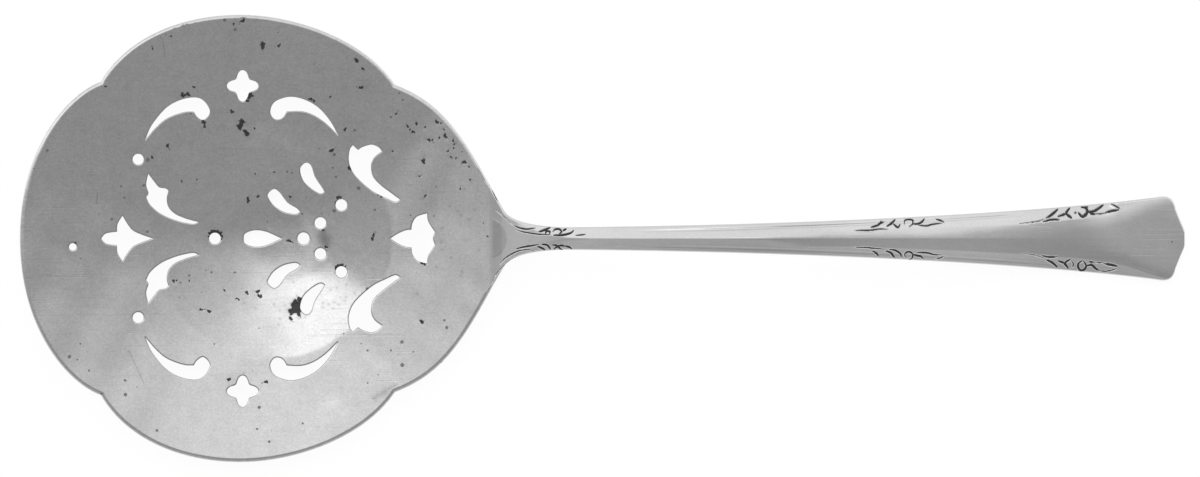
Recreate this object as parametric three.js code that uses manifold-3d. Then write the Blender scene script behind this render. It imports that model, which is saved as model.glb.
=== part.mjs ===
import * as THREE from 'three';
import { mergeVertices } from 'three/addons/utils/BufferGeometryUtils.js';
import Module from 'manifold-3d';

// A pierced silver bonbon spoon, lying face up: a round dished bowl with a lobed rim and sawn piercings, and
// a handle that is hard-soldered on at the bend behind the bowl.
// Millimetres, +X towards the end of the handle, +Z up. X is measured from the centre of the bowl's well,
// until the group is placed at the end, and Z from the surface that the spoon lies on.

// Dish of the bowl
const plateThickness = 1.3;
const restRadius = 3.5;
const footRun = 3;
const wellRadius = 20.6;
const wellSlope = 8.5;
const brimSlope = 5;
const rimSlope = 6;

// Rim of the bowl, upper half. A pull is the way that a curve leaves its point, or comes in to it.
const bowlFront = 43.3;
const frontPull = 16.3;
const bowlHalfWidth = 38.4;
const widestX = -5.5;
const widestPull = 9.8;
const frontNotch = [-29.4, 26.9];
const frontNotchPulls = [[-5.05, -1.7], [4.55, 7.85]];
const rearNotch = [21.1, 26.4];
const rearNotchPulls = [[-5.05, 7.6], [7.1, -2.7]];
const seamPull = [-5.4, 10];

// Solder joint
const seamX = 37.3;
const seamHalfWidth = 9.3;
const solderThickness = 0.3;

// Plan of the handle, upper half
const handleLength = 119.4;
const shoulderRun = 2.5;
const shoulderHalfWidth = 4.9;
const shoulderPull = [0.4, -0.7];
const neckRun = 12.7;
const neckPull = [-8.6, 0.3];
const stemHalfWidth = 1.95;
const stemPull = [43, 0.35];
const endHalfWidth = 7.2;
const endPulls = [[-19.1, -2.6], [1.6, 0.15]];
const cornerRun = 2.5;
const cornerHalfWidth = 5.2;
const cornerPull = [-0.3, 1.4];
const hollowRun = 0.8;
const hollowHalfWidth = 3.2;
const hollowPull = [0.4, -1];
const apexRun = 0.8;
const apexHalfWidth = 0.9;
const apexPull = [0, 0.7];

// Height and thickness of the handle
const neckSlope = 19;
const bendRun = 2.2;
const crestRun = 46;
const crestHeight = 14;
const flatLength = 8;
const stemThickness = 2.9;
const endThickness = 2.1;

// Face of the handle: a core that is a mere ridge along the stem and fans out flat at the end, a panel that
// tilts away beside it, steeper side bands, and rounded edges. Widths are shares of the half-width.
const stemCoreShare = 0.03;
const endCoreShare = 0.86;
const coreRun = 44;
const stemPanelShare = 0.52;
const endPanelShare = 0.93;
const panelRun = 22;
const stemPanelTilt = 14;
const endPanelTilt = 4;
const stemBandTilt = 16;
const endBandTilt = 9;
const seamBrowShare = 0.97;
const stemBrowShare = 0.78;
const endBrowShare = 0.965;
const stemEdge = 0.45;
const endEdge = 0.3;

// Back of the handle: flat in the middle, with edges that rise
const stemRound = 0.7;
const endRound = 0.3;
const backFlatShare = 0.5;
const roundness = 1.6;

// Heel: the tongue of the handle that laps under the bowl
const heelLap = 6.5;
const heelHalfWidth = 4;
const heelThickness = 1.1;
const heelNoseThickness = 0.5;
const heelTail = 5;
const heelTailHalfWidth = 1.4;
const heelSink = 0.6;
const solderGap = 0.3;

// Piercings: sizes, and how far outside the crease of the well each one of the ring lies
const quatrefoil = { out: 6.1, angle: 100.9, radius: 2.15, lobe: 0.55 };
const pearl = { out: 6.1, angle: 149.4, radius: 0.95 };
const axisDots = [{ at: [-9.8, 0], radius: 1 }, { at: [5.4, 0], radius: 1.05 }];
const sprayDots = [{ at: [8.3, 2.65], radius: 1 }, { at: [11.9, 5.75], radius: 1 }];
const hangingHole = { fromFront: 9.1, aside: -1.45, radius: 0.65 };

// Fineness of the facets
const turnSteps = 56;
const footSteps = 3;
const brimSteps = 2;
const rimSteps = 10;
const spanSteps = 2;
const dotSteps = 12;
const quatrefoilSteps = 24;
const neckSteps = 8;
const stemSteps = 20;
const cornerSteps = 5;
const noseSteps = 6;
const tailSteps = 4;

// How far the blank and the cutting prisms reach past the bowl
const blankMargin = 4;
const cutMargin = 1;

const footRadius = restRadius + footRun;
const seamEnd = seamX + solderThickness;
const shoulderX = seamX + shoulderRun;
const bendX = seamX + bendRun;
const stemX = seamX + neckRun;
const crestX = seamX + crestRun;
const tipX = seamX + handleLength;
const hollowX = tipX - apexRun;
const cornerX = hollowX - hollowRun;
const endX = cornerX - cornerRun;
const flatX = endX - flatLength;
const rimPoints = [[-bowlFront, 0], frontNotch, [widestX, bowlHalfWidth], rearNotch, [seamX, seamHalfWidth]];
const rimReach = Math.max(...rimPoints.map(([x, y]) => Math.hypot(x, y)));

const slope = (degrees) => Math.tan(THREE.MathUtils.degToRad(degrees));
const smooth = THREE.MathUtils.smoothstep;
const mix = THREE.MathUtils.lerp;
const sum = ([ax, ay], [bx, by]) => [ax + bx, ay + by];
const vector = ([x, y]) => new THREE.Vector2(x, y);
const mirrored = (points) => points.map((p) => new THREE.Vector2(p.x, -p.y));

// A curve between two points, with the pull out of the first and the pull into the second
const bend = (from, pullOut, pullIn, to) =>
  new THREE.CubicBezierCurve(...[from, sum(from, pullOut), sum(to, pullIn), to].map(vector));
const straight = (from, to) => new THREE.LineCurve(vector(from), vector(to));

// Points along a row of curves, each with its own number of steps
const trace = (stretches) => stretches.flatMap(([curve, steps], i) => {
  const points = curve.getPoints(steps);
  return i === 0 ? points : points.slice(1);
});

const wasm = await Module();
wasm.setup();

// A closed geometry as a solid that can be cut and joined
function solid(geometry) {
  geometry.deleteAttribute('normal');
  geometry.deleteAttribute('uv');
  const welded = mergeVertices(geometry);
  const index = welded.index.array;
  const triangles = [];
  for (let i = 0; i < index.length; i += 3) {
    const [a, b, c] = index.slice(i, i + 3);
    if (a !== b && b !== c && c !== a) triangles.push(a, b, c);
  }
  return new wasm.Manifold(new wasm.Mesh({
    numProp: 3,
    vertProperties: welded.attributes.position.array,
    triVerts: new Uint32Array(triangles),
  }));
}

function geometryOf(body) {
  const mesh = body.getMesh();
  const geometry = new THREE.BufferGeometry();
  geometry.setAttribute('position', new THREE.BufferAttribute(mesh.vertProperties, 3));
  geometry.setIndex(new THREE.BufferAttribute(mesh.triVerts, 1));
  geometry.computeVertexNormals();
  return geometry;
}

// Underside of the bowl at a distance from the well's centre: a worn flat, a foot that steepens into the
// plain cone of the well, then the flatter brim
function dish(radius) {
  const foot = Math.max(0, Math.min(radius, footRadius) - restRadius);
  const cone = Math.max(0, Math.min(radius, wellRadius) - footRadius);
  const brim = Math.max(0, radius - wellRadius);
  const curl = (slope(rimSlope) - slope(brimSlope)) / (2 * (bowlHalfWidth - wellRadius));
  const wellHeight = slope(wellSlope) * (foot * foot / (2 * footRun) + cone);
  return wellHeight + brim * slope(brimSlope) + brim * brim * curl;
}

// The plate before it is cut: the dish turned about the well's centre, wide enough for the whole rim
function turnedPlate() {
  const radii = [0, restRadius];
  for (let i = 1; i <= footSteps; i++) radii.push(restRadius + footRun * i / footSteps);
  radii.push(wellRadius);
  for (let i = 1; i <= brimSteps; i++) radii.push(mix(wellRadius, rimReach + blankMargin, i / brimSteps));
  const under = radii.map((r) => new THREE.Vector2(r, dish(r)));
  const over = radii.map((r) => new THREE.Vector2(r, dish(r) + plateThickness)).reverse();
  return solid(new THREE.LatheGeometry([...under, ...over], turnSteps).rotateX(Math.PI / 2));
}

// An outline as a prism that passes right through the bowl
function prism(shape) {
  const depth = dish(rimReach + blankMargin) + plateThickness + 2 * cutMargin;
  return solid(new THREE.ExtrudeGeometry(shape, { depth, bevelEnabled: false }).translate(0, 0, -cutMargin));
}

// Lobed outline of the bowl: a front lobe, two side lobes that meet it in small notches, and a rear lobe that
// runs in to the seam
function rimShape() {
  const widest = [widestX, bowlHalfWidth];
  const upper = trace([
    [bend([-bowlFront, 0], [0, frontPull], frontNotchPulls[0], frontNotch), rimSteps],
    [bend(frontNotch, frontNotchPulls[1], [-widestPull, 0], widest), rimSteps],
    [bend(widest, [widestPull, 0], rearNotchPulls[0], rearNotch), rimSteps],
    [bend(rearNotch, rearNotchPulls[1], seamPull, [seamX, seamHalfWidth]), rimSteps],
  ]);
  return new THREE.Shape([...upper, ...mirrored(upper.slice(1)).reverse()]);
}

// Runs of smooth curve that meet in corners, about a middle
function runs(middle, ...lists) {
  return lists.flatMap((list) => {
    const curve = new THREE.SplineCurve(list.map((point) => vector(sum(middle, point))));
    return curve.getPoints(spanSteps * (list.length - 1)).slice(0, -1);
  });
}

// A piercing on the axis: its upper half runs from its front to its rear point, and is mirrored
function axial(middle, ...lists) {
  const upper = runs(middle, ...lists);
  const rear = vector(sum(middle, lists.at(-1).at(-1)));
  return [...upper, rear, ...mirrored(upper.slice(1)).reverse()];
}

// A place in the ring of piercings that follows the crease between well and brim
function onRing(out, angle) {
  const turn = THREE.MathUtils.degToRad(angle);
  return [(wellRadius + out) * Math.cos(turn), (wellRadius + out) * Math.sin(turn)];
}

function round(middle, steps, radiusAt) {
  return Array.from({ length: steps }, (_, i) => {
    const turn = 2 * Math.PI * i / steps;
    return vector(sum(middle, [radiusAt(turn) * Math.cos(turn), radiusAt(turn) * Math.sin(turn)]));
  });
}

const dot = ({ at, radius }) => round(at, dotSteps, () => radius);

// Leaf scrolls on either side of the quatrefoils, each with a curled inner end
const frontScroll = () => runs(onRing(6.2, 126.7),
  [[-5.7, -4.5], [-4.6, -2], [-2, 1.05], [1, 2.5], [3.8, 2.5], [5.35, 0.4], [4.3, -1.1], [3.2, -0.6],
    [2.6, 0.3]],
  [[2.6, 0.3], [0.8, 0.2], [-2, -0.85], [-4, -2.5], [-5.7, -4.5]]);

const rearScroll = () => runs(onRing(2, 75.9),
  [[-3, -0.1], [-3.45, -0.9], [-4.2, -1.45], [-5.2, -1.3], [-5.8, -0.1], [-5, 1.55], [-2.5, 2.4], [0.1, 1.9],
    [2.5, 0.5], [4.5, -1.8], [5.75, -4.1]],
  [[5.75, -4.1], [3.7, -2.1], [1.6, -0.7], [-0.5, -0.05], [-3, -0.1]]);

// Barbed leaves beside the axis
const frontLeaf = () => runs(onRing(-1.1, 161.5),
  [[-2.75, 4.9], [-1.8, 3.65], [-0.9, 2.6], [0.2, 2.4], [0.7, 2]],
  [[0.7, 2], [0.4, 0.7], [0.7, -0.8], [1.9, -2], [3.9, -2.85], [5.8, -3.35]],
  [[5.8, -3.35], [5, -3.7], [3, -3.35], [1, -2.7], [-0.8, -1.8], [-2.4, -0.4], [-3.1, 0.95]],
  [[-3.1, 0.95], [-2.7, 1.6], [-3.1, 3.1], [-2.75, 4.9]]);

const rearLeaf = () => runs(onRing(-0.5, 34.9),
  [[-2.55, 4.5], [-2.2, 4.1], [-1.7, 3.7]],
  [[-1.7, 3.7], [-0.9, 4.2], [0.6, 4.6], [1.8, 4.15], [2.35, 3.45]],
  [[2.35, 3.45], [1.1, 2.5], [0.5, 1.1], [0.8, -0.8], [2.1, -2.3], [3.8, -3.6], [5.45, -4.8]],
  [[5.45, -4.8], [4.7, -5.2], [3, -4.5], [1, -3.5], [-1, -1.9], [-2.6, -0.1], [-3.3, 1.9], [-3.1, 3.8],
    [-2.55, 4.5]]);

// Pointed crosses on the axis, in front and behind
const frontCross = () => axial(onRing(4.4, 180),
  [[-4.3, 0], [-3.5, 0.85], [-1.6, 1.15]],
  [[-1.6, 1.15], [-1.5, 2.5], [-0.65, 3.9]],
  [[-0.65, 3.9], [-0.1, 2.9], [1, 1.45], [2.5, 0.7], [4.5, 0]]);

const rearCross = () => axial(onRing(3.6, 0),
  [[-3.85, 0], [-2.8, 0.7], [-1.4, 1.35], [-0.25, 1.5]],
  [[-0.25, 1.5], [-0.1, 2.6], [0.7, 3.75], [2.4, 4.3]],
  [[2.4, 4.3], [2.6, 2.9], [3.75, 1.1]],
  [[3.75, 1.1], [3.4, 0.2], [3.4, 0]]);

// Spray of drops that fans out from the middle of the well
const middleDrop = () => axial([-1.6, 0], [[-3.25, 0], [-3, 0.85], [-1.4, 1.4], [0.6, 1.15], [3.2, 0]]);

const innerDrop = () => runs([1.8, 6.2], [[2.95, -1.6], [2.2, -2], [0.2, -1.6], [-1.4, -0.6],
  [-2.3, 0.6], [-2.5, 1.4], [-1.5, 2.3], [-0.5, 1.7], [0.8, 0], [2.4, -1], [2.95, -1.6]]);

const outerDrop = () => runs([6.6, 10.5], [[2.35, -2.5], [1.6, -2.75], [0, -1.8], [-1.3, -0.4],
  [-1.75, 1.5], [-0.8, 2.5], [0.1, 2], [0.75, 0.1], [2, -1.8], [2.35, -2.5]]);

const quatrefoilOutline = () => round(onRing(quatrefoil.out, quatrefoil.angle), quatrefoilSteps,
  (turn) => quatrefoil.radius + quatrefoil.lobe * Math.cos(4 * turn));

function piercings() {
  const onAxis = [frontCross(), rearCross(), middleDrop(), ...axisDots.map(dot)];
  const pearlDot = dot({ at: onRing(pearl.out, pearl.angle), radius: pearl.radius });
  const pairs = [frontScroll(), rearScroll(), frontLeaf(), rearLeaf(), innerDrop(), outerDrop(),
    ...sprayDots.map(dot), quatrefoilOutline(), pearlDot];
  const { fromFront, aside, radius } = hangingHole;
  const hanging = dot({ at: [fromFront - bowlFront, aside], radius });
  return [...onAxis, ...pairs, ...pairs.map(mirrored), hanging];
}

function piercedBowl() {
  let bowl = turnedPlate().intersect(prism(rimShape()));
  for (const outline of piercings()) bowl = bowl.subtract(prism(new THREE.Shape(outline)));
  return geometryOf(bowl);
}

// Half-width of the handle at each of its stations, from the seam to the tip
function handlePlan() {
  const shoulder = [shoulderX, shoulderHalfWidth];
  const stem = [stemX, stemHalfWidth];
  const end = [endX, endHalfWidth];
  const corner = [cornerX, cornerHalfWidth];
  const hollow = [hollowX, hollowHalfWidth];
  const seamSide = mix(seamHalfWidth, shoulderHalfWidth, solderThickness / shoulderRun);
  return trace([
    [straight([seamEnd, seamSide], shoulder), 2],
    [bend(shoulder, shoulderPull, neckPull, stem), neckSteps],
    [bend(stem, stemPull, endPulls[0], end), stemSteps],
    [bend(end, endPulls[1], cornerPull, corner), cornerSteps],
    [straight(corner, hollow), 1],
    [bend(hollow, hollowPull, apexPull, [tipX, apexHalfWidth]), cornerSteps],
  ]);
}

// Cubic from one height and slope to another
function ramp(x, from, to) {
  const run = to.x - from.x;
  const t = (x - from.x) / run;
  const rise = (2 * t ** 3 - 3 * t ** 2 + 1) * from.z + (3 * t ** 2 - 2 * t ** 3) * to.z;
  return rise + run * ((t ** 3 - 2 * t ** 2 + t) * from.slope + (t ** 3 - t ** 2) * to.slope);
}

// Height of the middle of the handle's back: on from the brim, up from the bend to the crest, then down to
// the flat
function backHeight(x) {
  const crest = { x: crestX, z: crestHeight, slope: 0 };
  if (x <= bendX) return dish(x);
  if (x <= crestX) return ramp(x, { x: bendX, z: dish(bendX), slope: slope(neckSlope) }, crest);
  return x < flatX ? ramp(x, crest, { x: flatX, z: 0, slope: 0 }) : 0;
}

// A value that the handle has at the seam, along the stem and at its end
function along(x, atSeam, atStem, atEnd) {
  if (x < stemX) return mix(atSeam, atStem, smooth(x, seamX, stemX));
  return mix(atStem, atEnd, smooth(x, stemX, flatX));
}

// A share of the half-width that is wide at the seam, narrow along the stem, and fans out again over a run
// that stops at the end's corners
function fanned(x, onStem, atEnd, run) {
  if (x < stemX) return mix(atEnd, onStem, smooth(x, seamX, stemX));
  const opened = Math.max(0, Math.min(endX, x) - (endX - run)) / run;
  return mix(onStem, atEnd, opened * opened);
}

// Section of the handle at a station, as points round it: the face from left to right, then the back
function section({ x, y: halfWidth }) {
  const core = fanned(x, stemCoreShare, endCoreShare, coreRun);
  const panel = fanned(x, stemPanelShare, endPanelShare, panelRun);
  const brow = along(x, seamBrowShare, stemBrowShare, endBrowShare);
  const gentle = slope(along(x, 0, stemPanelTilt, endPanelTilt));
  const steep = slope(along(x, 0, stemBandTilt, endBandTilt));
  const thickness = along(x, plateThickness, stemThickness, endThickness);
  const edge = along(x, 0, stemEdge, endEdge);
  const round = along(x, 0, stemRound, endRound);
  const fade = 1 - smooth(x, seamX, stemX);
  const lift = (y) => backHeight(x) + fade * (dish(Math.hypot(x, y)) - dish(x));
  const point = (share, height) => new THREE.Vector3(x, share * halfWidth, lift(share * halfWidth) + height);

  const fall = (share) => halfWidth * (gentle * Math.max(0, Math.min(share, panel) - core) +
    steep * Math.max(0, share - panel));
  const over = [1, brow, panel, core];
  const top = (share, side) => point(side * share, thickness - fall(share) - (share === 1 ? edge : 0));

  const back = [1, mix(1, backFlatShare, 1 / 2), backFlatShare];
  const turned = (share) => (Math.max(0, share - backFlatShare) / (1 - backFlatShare)) ** roundness;
  const under = (share, side) => point(side * share, round * turned(share));
  return [
    ...over.map((share) => top(share, 1)), top(0, 1), ...over.map((share) => top(share, -1)).reverse(),
    ...back.map((share) => under(share, -1)), under(0, 1), ...back.map((share) => under(share, 1)).reverse(),
  ];
}

// Closed skin over a row of sections that have the same number of points
function loft(sections) {
  const count = sections[0].length;
  const corners = sections.flat();
  const faces = [];
  for (let s = 0; s + 1 < sections.length; s++) {
    for (let i = 0; i < count; i++) {
      const [a, b] = [s * count + i, s * count + (i + 1) % count];
      faces.push([a, b, a + count], [b, b + count, a + count]);
    }
  }
  const cap = (ring) => THREE.ShapeUtils.triangulateShape(ring.map((p) => new THREE.Vector2(p.y, p.z)), []);
  const last = corners.length - count;
  for (const [a, b, c] of cap(sections[0])) faces.push([c, b, a]);
  for (const face of cap(sections.at(-1))) faces.push(face.map((i) => i + last));
  const geometry = new THREE.BufferGeometry().setFromPoints(corners);
  return geometry.setIndex(faces.flat());
}

// Tongue under the bowl, round in front. Behind the seam it narrows and sinks into the back of the handle.
function heel() {
  const roundX = seamX - heelLap + heelHalfWidth;
  const rearX = seamEnd + heelTail;
  const nose = new THREE.EllipseCurve(roundX, 0, heelHalfWidth, heelHalfWidth, Math.PI, Math.PI / 2, true);
  const tail = straight([seamEnd, heelHalfWidth], [rearX, heelTailHalfWidth]);
  const plan = [...nose.getPoints(noseSteps).slice(1), ...tail.getPoints(tailSteps)];
  return loft(plan.map(({ x, y: halfWidth }) => {
    const inside = smooth(x, seamEnd, seamEnd + heelTail / tailSteps);
    const runOut = smooth(x, seamEnd, rearX);
    const thickness = mix(heelNoseThickness, heelThickness, smooth(x, roundX - heelHalfWidth, seamX));
    const seat = (y) => mix(dish(Math.hypot(x, y)) - solderGap, backHeight(x) + heelSink, inside);
    const depth = mix(thickness + inside * (heelSink + solderGap), heelSink / 2, runOut);
    const face = (share) => new THREE.Vector3(x, share * halfWidth, seat(share * halfWidth));
    const back = (share) => face(share).setZ(seat(share * halfWidth) - depth * (1 - share * share / 2));
    return [...[1, 0.5, 0, -0.5, -1].map(face), ...[-1, -0.5, 0, 0.5, 1].map(back)];
  }));
}

const handle = () => geometryOf(solid(loft(handlePlan().map(section))).add(solid(heel())));

// Thin joint of solder between the two cut faces, of the same section as the handle
function solderSeam() {
  const start = handlePlan()[0];
  return loft([section({ x: seamX, y: seamHalfWidth }), section(start)]);
}

function piece(name, geometry, colour, roughness) {
  const material = new THREE.MeshStandardMaterial({ color: colour, roughness, metalness: 1 });
  const mesh = new THREE.Mesh(geometry, material);
  mesh.name = name;
  return mesh;
}

const spoon = new THREE.Group();
spoon.add(
  piece('pierced_bowl', piercedBowl(), 0xc4c4c2, 0.32),
  piece('handle', handle(), 0xc8c8c6, 0.26),
  piece('solder_seam', solderSeam(), 0xb9b9b6, 0.4),
);
// The origin is the middle of the length
spoon.position.x = (bowlFront - tipX) / 2;

export default spoon;
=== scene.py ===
import math

import bpy
import numpy as np
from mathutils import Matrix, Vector
from mathutils.geometry import delaunay_2d_cdt
from mathutils.kdtree import KDTree


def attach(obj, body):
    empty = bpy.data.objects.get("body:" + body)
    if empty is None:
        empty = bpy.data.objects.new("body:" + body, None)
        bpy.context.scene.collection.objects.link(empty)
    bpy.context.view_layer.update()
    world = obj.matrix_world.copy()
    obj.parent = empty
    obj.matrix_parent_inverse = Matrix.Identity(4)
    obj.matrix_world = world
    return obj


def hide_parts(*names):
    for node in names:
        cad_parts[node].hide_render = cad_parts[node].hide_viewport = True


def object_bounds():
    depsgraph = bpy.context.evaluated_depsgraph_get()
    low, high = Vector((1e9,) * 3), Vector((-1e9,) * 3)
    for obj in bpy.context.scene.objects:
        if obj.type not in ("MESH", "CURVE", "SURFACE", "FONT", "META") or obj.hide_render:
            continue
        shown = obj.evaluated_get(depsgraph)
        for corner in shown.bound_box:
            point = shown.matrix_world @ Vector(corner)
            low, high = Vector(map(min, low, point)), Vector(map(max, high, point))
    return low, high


# A pierced silver bonbon spoon, lying face up on a white table under soft light and seen from straight above.
# The shapes are in millimetres, with x measured from the centre of the bowl's well, as in the solids. A name
# that ends in HALF is half of a width.

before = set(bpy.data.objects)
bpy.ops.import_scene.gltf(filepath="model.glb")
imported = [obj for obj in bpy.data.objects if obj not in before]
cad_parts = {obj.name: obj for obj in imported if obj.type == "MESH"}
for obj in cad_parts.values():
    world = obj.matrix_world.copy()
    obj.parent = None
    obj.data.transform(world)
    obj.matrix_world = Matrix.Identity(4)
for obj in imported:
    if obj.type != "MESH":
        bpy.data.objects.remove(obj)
cad_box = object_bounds()

MM = 0.001

# Dish of the bowl
PLATE = 1.3
REST_RADIUS = 3.5
FOOT_RUN = 3
WELL_SLOPE = 8.5
WELL_RADIUS = 20.6
BRIM_SLOPE = 5
RIM_SLOPE = 6
CREASE_SOFT = 1.6
FACE_RUN = 11

# Rim of the bowl, upper half
BOWL_FRONT = 43.3
FRONT_PULL = 16.3
BOWL_HALF = 38.4
WIDEST_X = -5.5
WIDEST_PULL = 9.8
FRONT_NOTCH = (-29.4, 26.9)
FRONT_NOTCH_PULLS = ((-5.05, -1.7), (4.55, 7.85))
REAR_NOTCH = (21.1, 26.4)
REAR_NOTCH_PULLS = ((-5.05, 7.6), (7.1, -2.7))
SEAM_PULL = (-5.4, 10)

# Seam and plan of the handle
SEAM_X = 37.3
SEAM_HALF = 9.3
SOLDER = 0.3
HANDLE_LENGTH = 119.4
SHOULDER_RUN = 2.5
SHOULDER_HALF = 4.9
SHOULDER_PULL = (0.4, -0.7)
NECK_RUN = 12.7
NECK_PULL = (-8.6, 0.3)
STEM_HALF = 1.95
STEM_PULL = (43, 0.35)
END_HALF = 7.2
END_PULLS = ((-19.1, -2.6), (1.6, 0.15))
CORNER_RUN = 2.5
CORNER_HALF = 5.2
CORNER_PULL = (-0.3, 1.4)
HOLLOW_RUN = 0.8
HOLLOW_HALF = 3.2
HOLLOW_PULL = (0.4, -1)
APEX_RUN = 0.8
APEX_HALF = 0.9
APEX_PULL = (0, 0.7)

# Height and section of the handle
NECK_SLOPE = 19
BEND_RUN = 2.2
CREST_RUN = 46
CREST_HEIGHT = 14
FLAT_LENGTH = 8
STEM_THICKNESS = 2.9
END_THICKNESS = 2.1
STEM_ROUND = 0.7
END_ROUND = 0.3
BACK_FLAT_SHARE = 0.5
ROUNDNESS = 1.6

# The handle's face at places along it: half-width of its flat core, how softly the core's edges bend, tilt
# of the panel in degrees, half-width of the panel, and tilt of the side bands
CORE = ((37, 9.5), (40.5, 4.2), (42.4, 1.5), (46, 0.7), (50, 0.2), (56, 0), (108, 0), (118, 0.2), (130, 1.2),
        (137, 1.9), (143, 2.4), (146.8, 3.3), (150.4, 4.9), (153.5, 6), (157, 6.8))
CORE_SOFT = ((37, 0.2), (60, 0.06), (76, 0.12), (91, 0.7), (117, 1.5), (130, 1.3), (140, 1), (157, 0.8))
PANEL_TILT = ((37, 0), (44, 2), (50, 11), (56, 14), (84, 13), (95, 8), (105, 6.5), (130, 6), (137, 4.6),
              (143, 3), (150, 2.2), (157, 1.8))
PANEL = ((37, 9.8), (40.5, 4.6), (42.4, 2.1), (46, 1.2), (50, 1), (78, 1.2), (91, 1.45), (101, 1.4),
         (110, 1.8), (118, 2.1), (130, 2.7), (138.9, 3.4), (142.5, 3.9), (146.6, 4.6), (150.4, 5.9),
         (153.5, 6.8), (157, 7))
BAND_TILT = ((37, 0), (44, 8), (50, 14), (66, 15), (91, 14), (110, 16), (140, 13))
UPPER_BAND_END = ((143.4, 12.5), (145.2, 4.7), (157, 4.3))
LOWER_BAND_END = ((146, 11.5), (157, 11))
BAND_SOFT = 0.15
UPPER_BAND_SOFT = ((140, 0.15), (147, 0.5))

# Fine ridge along the lower crease near the end: its height and width, and how strong it is along the handle
CREASE_HEIGHT = 0.014
CREASE_WIDTH = 0.25
CREASE = ((136, 0), (143, 1), (151, 1), (154.5, 0))

# Heel under the bowl
HEEL_LAP = 6.5
HEEL_HALF = 4
HEEL_THICKNESS = 1.1
HEEL_NOSE_THICKNESS = 0.5
HEEL_TAIL = 5
HEEL_TAIL_HALF = 1.4
HEEL_SINK = 0.6
HEEL_EDGE = 0.02
HEEL_POINTS = 13
SOLDER_GAP = 0.3

# How far the edges are rounded
RIM_ROUND = 0.42
PIERCING_ROUND = 0.15
UNDER_ROUND = 0.22
STEM_EDGE = 0.28
END_EDGE = 0.26
EDGE_TURN = 0.86

# Fineness of the meshes
RIM_PITCH = 0.4
PIERCING_PITCH = 0.28
FIELD_PITCH = 0.75
RIM_RINGS = (0.05, 0.14, 0.26, 0.42, 0.75)
PIERCING_RINGS = (0.04, 0.12, 0.26, 0.5)
SPOT_RINGS = (0, 0.35, 0.7, 1.1, 1.6)
FAN_STEP = math.radians(24)
CUT_PITCH = 0.1
PLAIN_PITCH = 0.55
SHOULDER_PITCH = 0.16
TOP_POINTS = 97
BACK_POINTS = 17

# How many points of the other piece's outline an edge runs on over, past the seam
RUN_ON = 40

SEAM_END = SEAM_X + SOLDER
SHOULDER_X = SEAM_X + SHOULDER_RUN
BEND_X = SEAM_X + BEND_RUN
STEM_X = SEAM_X + NECK_RUN
CREST_X = SEAM_X + CREST_RUN
TIP_X = SEAM_X + HANDLE_LENGTH
HOLLOW_X = TIP_X - APEX_RUN
CORNER_X = HOLLOW_X - HOLLOW_RUN
END_X = CORNER_X - CORNER_RUN
FLAT_X = END_X - FLAT_LENGTH
WELL_CENTRE = cad_box[0].x / MM + BOWL_FRONT

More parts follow.
